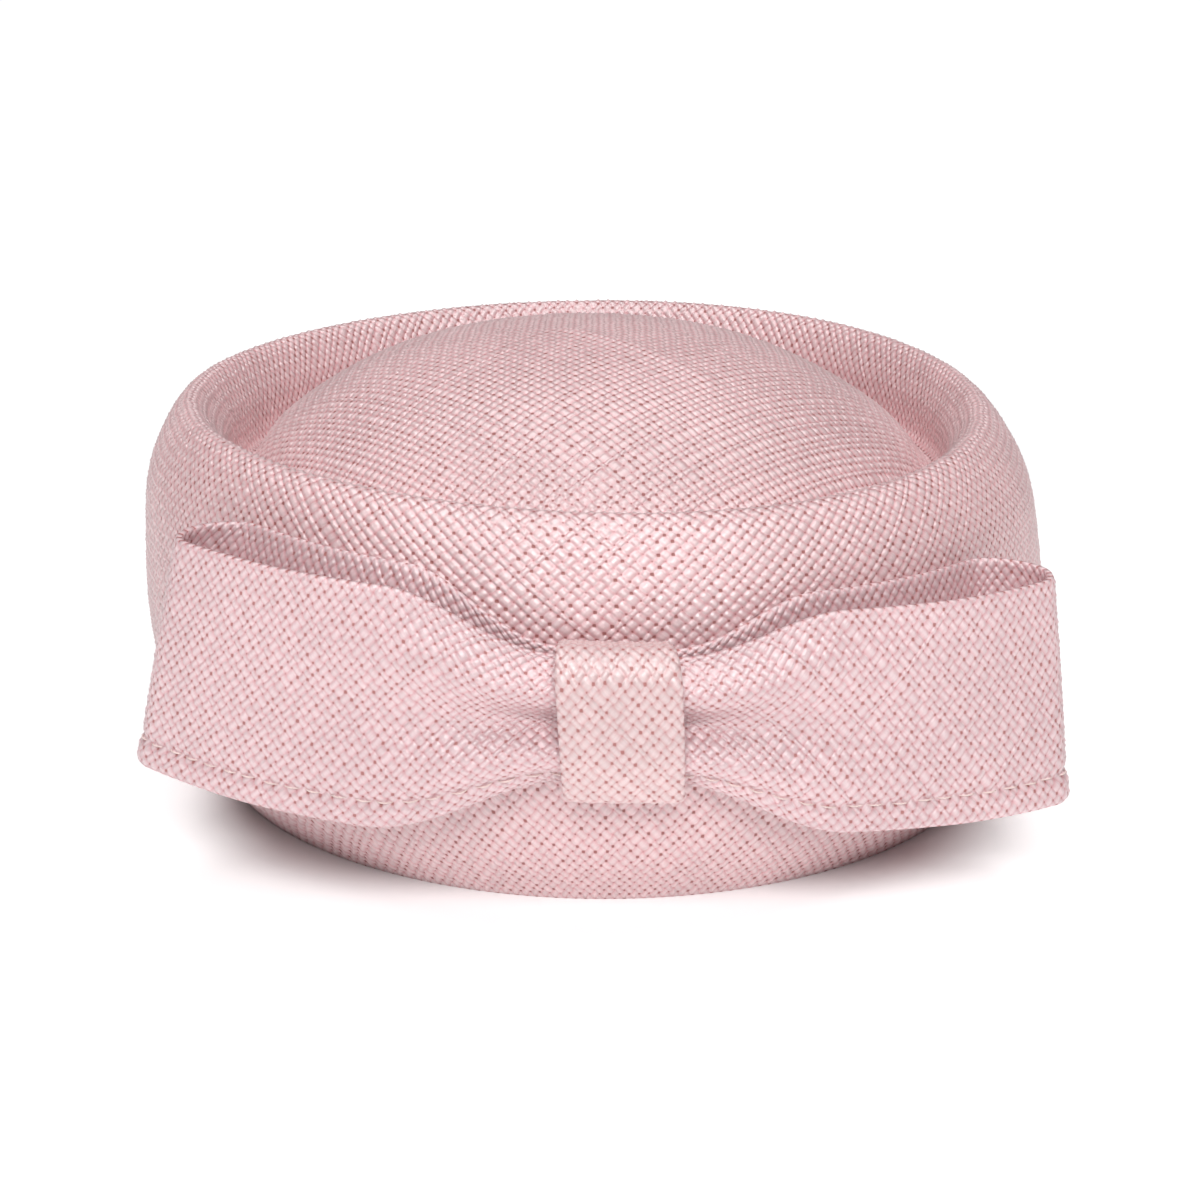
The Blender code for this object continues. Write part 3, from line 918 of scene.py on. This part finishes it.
def add_floor():
    """A wide white table top, which glows with painted light more the further it is from the hat, so
    that it is painted darker under the hat: one smooth step at the hat's edge and another across the
    room."""
    mesh = bpy.data.meshes.new("table_top")
    mesh.from_pydata([(-9, -9, 0), (9, -9, 0), (9, 9, 0), (-9, 9, 0)], [], [(0, 1, 2, 3)])
    floor = bpy.data.objects.new("table_top", mesh)
    bpy.context.scene.collection.objects.link(floor)
    material = bpy.data.materials.new("white_table")
    material.use_nodes = True
    graph = Graph(material)
    surface = material.node_tree.nodes["Principled BSDF"]
    place = graph.add("ShaderNodeTexCoord").outputs["Object"]
    parts = graph.add("ShaderNodeSeparateXYZ", i0=place).outputs
    shifts = [graph.math("SUBTRACT", parts[axis], float(CENTRE[axis])) for axis in (0, 1)]
    powers = [graph.math("POWER", graph.math("ABSOLUTE", shift), 4.0) for shift in shifts]
    away = graph.math("POWER", graph.math("ADD", *powers), 0.25)
    # Painted shade under the hat, rising to painted light round it
    beside = graph.between(away, *PAINTED_TABLE_LIGHT["hat"], PAINTED_TABLE_LIGHT["under"], PAINTED_TABLE_LIGHT["round"])
    further = graph.between(away, *PAINTED_TABLE_LIGHT["room"], 0.0, PAINTED_TABLE_LIGHT["far"] - PAINTED_TABLE_LIGHT["round"])
    painted_glow = graph.math("ADD", beside, further)
    graph.tree.links.new(painted_glow, surface.inputs["Emission Strength"])
    surface.inputs["Base Color"].default_value = (0.80, 0.80, 0.80, 1.0)
    surface.inputs["Roughness"].default_value = 0.9
    surface.inputs["Specular IOR Level"].default_value = 0.1
    surface.inputs["Emission Color"].default_value = (1.0, 1.0, 1.0, 1.0)
    mesh.materials.append(material)


def add_light(name, place, aim, size, power):
    """A square soft box that faces aim."""
    light = bpy.data.lights.new(name, "AREA")
    light.shape = "RECTANGLE"
    light.size, light.size_y = size
    light.energy = power
    lamp = bpy.data.objects.new(name, light)
    lamp.location = place
    lamp.rotation_euler = (Vector(aim) - Vector(place)).to_track_quat("-Z", "Y").to_euler()
    bpy.context.scene.collection.objects.link(lamp)


# The camera's lens in millimetres, how far it stands from where the crown's axis meets the table, and
# its tilt from straight down in degrees. The lights face LIT_PLACE, and their powers are in watts
CAMERA = {"lens": 59.25, "place": (-0.0009, -0.413, 0.173), "tilt": 70.8}
LIGHTS = (
    {"name": "top_box", "place": (0.0, -0.10, 1.30), "size": (1.5, 0.6), "power": 11.0},
    {"name": "front_box", "place": (0.0, -1.15, 1.00), "size": (0.8, 0.5), "power": 12.6},
)
LIT_PLACE = (0.0, -0.05, 0.05)
ROOM_LIGHT = 0.03


def add_camera_and_light():
    """The camera looks down on the hat from the front, and soft boxes light it from above and from
    the front."""
    scene = bpy.context.scene
    camera = bpy.data.cameras.new("front_camera")
    camera.lens = CAMERA["lens"]
    camera.sensor_width = 36.0
    viewer = bpy.data.objects.new("front_camera", camera)
    right, back, up = CAMERA["place"]
    viewer.location = (CENTRE[0] + right, CENTRE[1] + back, up)
    viewer.rotation_euler = (np.radians(CAMERA["tilt"]), 0.0, 0.0)
    scene.collection.objects.link(viewer)
    scene.camera = viewer
    for light in LIGHTS:
        add_light(light["name"], light["place"], LIT_PLACE, light["size"], light["power"])
    world = bpy.data.worlds.new("studio")
    world.use_nodes = True
    world.node_tree.nodes["Background"].inputs[0].default_value = (1.0, 1.0, 1.0, 1.0)
    world.node_tree.nodes["Background"].inputs[1].default_value = ROOM_LIGHT
    scene.world = world
    scene.view_settings.view_transform = "Standard"


add_camera_and_light()
add_floor()
crown_straw = [straw("crown_straw_rising", CROWN_LOOK, 0), straw("crown_straw_falling", CROWN_LOOK, 1)]
bow_straw = [straw("bow_straw_rising", BOW_LOOK, 0), straw("bow_straw_falling", BOW_LOOK, 1)]
knot_straw = [straw("knot_straw_rising", KNOT_LOOK, 0), straw("knot_straw_falling", KNOT_LOOK, 1)]
add_crown_side(crown_straw)
add_crown_tip(crown_straw)
for loop, name in zip(LOOPS, ("bow_left", "bow_right")):
    add_loop(loop, name, bow_straw)
add_knot(knot_straw)
add_stitches([thread_look()])
